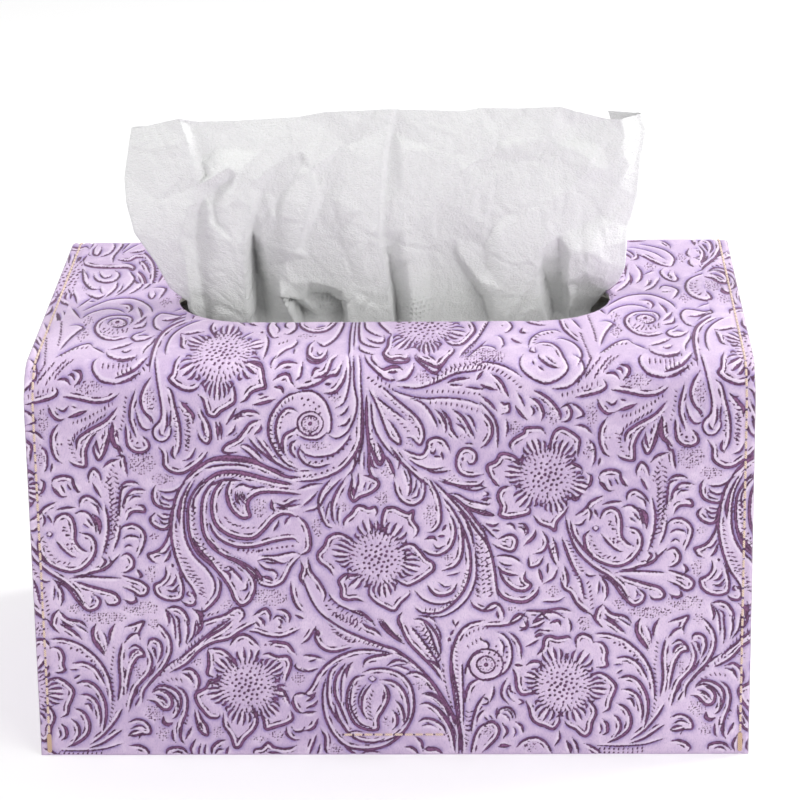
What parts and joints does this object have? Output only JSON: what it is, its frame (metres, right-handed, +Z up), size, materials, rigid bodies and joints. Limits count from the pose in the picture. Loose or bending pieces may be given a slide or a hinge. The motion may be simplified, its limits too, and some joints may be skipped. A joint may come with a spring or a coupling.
{
  "type": "tissue box cover",
  "caption": "Rectangular tooled-leather cover for a box of tissues, open below, with an oval mouth in its top, sewn ends and two hook-and-loop straps underneath.",
  "frame": {"origin": "centre of the cover's footprint, on the surface that it stands on", "axes": "+X along the cover's length to the right as seen in the picture, +Y from the front wall to the back wall, +Z up"},
  "size_m": [0.21, 0.141, 0.18],
  "materials": {
    "tooled_leather": "embossed faux leather, satin, lilac with dark burnished lines",
    "end_leather": "embossed faux leather, satin",
    "strap_leather": "plain grained faux leather",
    "cream_thread": "twisted polyester thread",
    "tan_thread": "twisted polyester thread",
    "hook_tape": "woven hook tape",
    "loop_tape": "brushed loop tape",
    "carton_board": "uncoated folding boxboard",
    "tissue_paper": "soft creped tissue paper"
  },
  "bodies": {
    "cover": {"main_panel": "tooled_leather", "left_end_panel": "end_leather", "right_end_panel": "end_leather", "left_seam_thread": "cream_thread", "right_seam_thread": "cream_thread", "left_seam_bobbin_thread": "cream_thread", "right_seam_bobbin_thread": "cream_thread", "seam_back_tacks": "tan_thread", "front_strap_tab": "strap_leather", "rear_strap_tab": "strap_leather", "front_anchor_stitching": "tan_thread", "rear_anchor_stitching": "tan_thread", "tissue_carton": "carton_board", "tissue_stack": "tissue_paper"},
    "lower_strap": {"front_strap": "strap_leather", "hook_tape": "hook_tape", "hook_tape_stitching": "cream_thread"},
    "upper_strap": {"rear_strap": "strap_leather", "loop_tape": "loop_tape", "loop_tape_stitching": "cream_thread"},
    "tissue": {"popped_tissue": "tissue_paper"}
  },
  "joints": [
    {"name": "lower_strap_opens", "type": "hinge", "parent": "cover", "child": "lower_strap", "pos_m": [0, -0.0669, 0.002], "axis": [-1, 0, 0], "range_deg": [0, 90]},
    {"name": "upper_strap_opens", "type": "hinge", "parent": "cover", "child": "upper_strap", "pos_m": [0, 0.0669, 0.0059], "axis": [1, 0, 0], "range_deg": [0, 45]},
    {"name": "tissue_pulls_out", "type": "slide", "parent": "cover", "child": "tissue", "axis": [0, 0, 1], "range_m": [0, 0.1]}
  ],
  "couplings": [
    {"joint": "upper_strap_opens", "follows": "lower_strap_opens", "ratio": 0.5}
  ]
}
